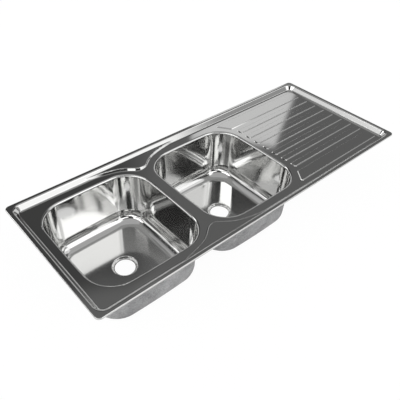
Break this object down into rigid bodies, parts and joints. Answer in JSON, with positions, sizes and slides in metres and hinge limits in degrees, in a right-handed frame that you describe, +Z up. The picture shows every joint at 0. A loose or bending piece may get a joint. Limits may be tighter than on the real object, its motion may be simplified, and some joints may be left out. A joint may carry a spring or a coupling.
{
  "type": "double bowl kitchen sink",
  "caption": "Inset stainless kitchen sink with two equal rounded bowls, a ribbed drainer, open waste holes, a foam rim seal and swinging screw clips that grip the worktop.",
  "frame": {"origin": "centre of the worktop cut-out, on the worktop's top face, where the rim's seal rests", "axes": "+X to the right along the front edge, from the bowls to the drainer; +Y to the back; +Z up"},
  "size_m": [1.2, 0.48, 0.1988],
  "materials": {
    "deck_steel": "satin rolled stainless sheet",
    "bowl_steel": "polished stainless sheet",
    "sound_coat": "sprayed sound-deadening coat, matt and finely grained",
    "foam_seal": "closed-cell foam",
    "galvanised_steel": "galvanised",
    "bitumen_pad": "matt felted bitumen",
    "stainless_fittings": "plain stainless",
    "zinc_plate": "bright zinc plate"
  },
  "bodies": {
    "sink": {"sink_deck": "deck_steel", "bowl_left": "bowl_steel", "bowl_right": "bowl_steel", "sound_coat_left": "sound_coat", "sound_coat_right": "sound_coat", "rim_seal": "foam_seal", "drainer_channel_front": "galvanised_steel", "drainer_channel_back": "galvanised_steel", "drainer_sound_pad": "bitumen_pad", "earth_tag": "stainless_fittings", "clip_studs": "stainless_fittings"},
    "clip_front_left": {"clip_bracket_front_left": "zinc_plate"},
    "screw_front_left": {"clip_screw_front_left": "zinc_plate"},
    "claw_front_left": {"clip_claw_front_left": "zinc_plate"},
    "clip_front_middle": {"clip_bracket_front_middle": "zinc_plate"},
    "screw_front_middle": {"clip_screw_front_middle": "zinc_plate"},
    "claw_front_middle": {"clip_claw_front_middle": "zinc_plate"},
    "clip_front_right": {"clip_bracket_front_right": "zinc_plate"},
    "screw_front_right": {"clip_screw_front_right": "zinc_plate"},
    "claw_front_right": {"clip_claw_front_right": "zinc_plate"},
    "clip_right_end": {"clip_bracket_right_end": "zinc_plate"},
    "screw_right_end": {"clip_screw_right_end": "zinc_plate"},
    "claw_right_end": {"clip_claw_right_end": "zinc_plate"},
    "clip_back_right": {"clip_bracket_back_right": "zinc_plate"},
    "screw_back_right": {"clip_screw_back_right": "zinc_plate"},
    "claw_back_right": {"clip_claw_back_right": "zinc_plate"},
    "clip_back_middle": {"clip_bracket_back_middle": "zinc_plate"},
    "screw_back_middle": {"clip_screw_back_middle": "zinc_plate"},
    "claw_back_middle": {"clip_claw_back_middle": "zinc_plate"},
    "clip_back_left": {"clip_bracket_back_left": "zinc_plate"},
    "screw_back_left": {"clip_screw_back_left": "zinc_plate"},
    "claw_back_left": {"clip_claw_back_left": "zinc_plate"},
    "clip_left_end": {"clip_bracket_left_end": "zinc_plate"},
    "screw_left_end": {"clip_screw_left_end": "zinc_plate"},
    "claw_left_end": {"clip_claw_left_end": "zinc_plate"}
  },
  "joints": [
    {"name": "swing_front_left", "type": "hinge", "parent": "sink", "child": "clip_front_left", "pos_m": [-0.48, -0.204, -0.0134], "axis": [0, 0, -1], "range_deg": [0, 90]},
    {"name": "turn_front_left", "type": "hinge", "parent": "clip_front_left", "child": "screw_front_left", "pos_m": [-0.48, -0.204, -0.0392], "axis": [0, 0, -1], "range_deg": [0, 5400]},
    {"name": "lift_front_left", "type": "slide", "parent": "clip_front_left", "child": "claw_front_left", "axis": [0, 0, 1], "range_m": [0, 0.012]},
    {"name": "swing_front_middle", "type": "hinge", "parent": "sink", "child": "clip_front_middle", "pos_m": [0, -0.204, -0.0134], "axis": [0, 0, -1], "range_deg": [0, 90]},
    {"name": "turn_front_middle", "type": "hinge", "parent": "clip_front_middle", "child": "screw_front_middle", "pos_m": [0, -0.204, -0.0392], "axis": [0, 0, -1], "range_deg": [0, 5400]},
    {"name": "lift_front_middle", "type": "slide", "parent": "clip_front_middle", "child": "claw_front_middle", "axis": [0, 0, 1], "range_m": [0, 0.012]},
    {"name": "swing_front_right", "type": "hinge", "parent": "sink", "child": "clip_front_right", "pos_m": [0.48, -0.204, -0.0134], "axis": [0, 0, -1], "range_deg": [0, 90]},
    {"name": "turn_front_right", "type": "hinge", "parent": "clip_front_right", "child": "screw_front_right", "pos_m": [0.48, -0.204, -0.0392], "axis": [0, 0, -1], "range_deg": [0, 5400]},
    {"name": "lift_front_right", "type": "slide", "parent": "clip_front_right", "child": "claw_front_right", "axis": [0, 0, 1], "range_m": [0, 0.012]},
    {"name": "swing_right_end", "type": "hinge", "parent": "sink", "child": "clip_right_end", "pos_m": [0.56, 0.01745, -0.0134], "axis": [0, 0, -1], "range_deg": [0, 90]},
    {"name": "turn_right_end", "type": "hinge", "parent": "clip_right_end", "child": "screw_right_end", "pos_m": [0.56, 0.01745, -0.0392], "axis": [0, 0, -1], "range_deg": [0, 5400]},
    {"name": "lift_right_end", "type": "slide", "parent": "clip_right_end", "child": "claw_right_end", "axis": [0, 0, 1], "range_m": [0, 0.012]},
    {"name": "swing_back_right", "type": "hinge", "parent": "sink", "child": "clip_back_right", "pos_m": [0.48, 0.204, -0.0134], "axis": [0, 0, -1], "range_deg": [0, 90]},
    {"name": "turn_back_right", "type": "hinge", "parent": "clip_back_right", "child": "screw_back_right", "pos_m": [0.48, 0.204, -0.0392], "axis": [0, 0, -1], "range_deg": [0, 5400]},
    {"name": "lift_back_right", "type": "slide", "parent": "clip_back_right", "child": "claw_back_right", "axis": [0, 0, 1], "range_m": [0, 0.012]},
    {"name": "swing_back_middle", "type": "hinge", "parent": "sink", "child": "clip_back_middle", "pos_m": [0, 0.204, -0.0134], "axis": [0, 0, -1], "range_deg": [0, 90]},
    {"name": "turn_back_middle", "type": "hinge", "parent": "clip_back_middle", "child": "screw_back_middle", "pos_m": [0, 0.204, -0.0392], "axis": [0, 0, -1], "range_deg": [0, 5400]},
    {"name": "lift_back_middle", "type": "slide", "parent": "clip_back_middle", "child": "claw_back_middle", "axis": [0, 0, 1], "range_m": [0, 0.012]},
    {"name": "swing_back_left", "type": "hinge", "parent": "sink", "child": "clip_back_left", "pos_m": [-0.48, 0.204, -0.0134], "axis": [0, 0, -1], "range_deg": [0, 90]},
    {"name": "turn_back_left", "type": "hinge", "parent": "clip_back_left", "child": "screw_back_left", "pos_m": [-0.48, 0.204, -0.0392], "axis": [0, 0, -1], "range_deg": [0, 5400]},
    {"name": "lift_back_left", "type": "slide", "parent": "clip_back_left", "child": "claw_back_left", "axis": [0, 0, 1], "range_m": [0, 0.012]},
    {"name": "swing_left_end", "type": "hinge", "parent": "sink", "child": "clip_left_end", "pos_m": [-0.566, 0, -0.0134], "axis": [0, 0, -1], "range_deg": [0, 90]},
    {"name": "turn_left_end", "type": "hinge", "parent": "clip_left_end", "child": "screw_left_end", "pos_m": [-0.566, 0, -0.0392], "axis": [0, 0, -1], "range_deg": [0, 5400]},
    {"name": "lift_left_end", "type": "slide", "parent": "clip_left_end", "child": "claw_left_end", "axis": [0, 0, 1], "range_m": [0, 0.012]}
  ],
  "couplings": [
    {"joint": "turn_front_left", "follows": "lift_front_left", "rad_per_m": 7854},
    {"joint": "turn_front_middle", "follows": "lift_front_middle", "rad_per_m": 7854},
    {"joint": "turn_front_right", "follows": "lift_front_right", "rad_per_m": 7854},
    {"joint": "turn_right_end", "follows": "lift_right_end", "rad_per_m": 7854},
    {"joint": "turn_back_right", "follows": "lift_back_right", "rad_per_m": 7854},
    {"joint": "turn_back_middle", "follows": "lift_back_middle", "rad_per_m": 7854},
    {"joint": "turn_back_left", "follows": "lift_back_left", "rad_per_m": 7854},
    {"joint": "turn_left_end", "follows": "lift_left_end", "rad_per_m": 7854}
  ]
}
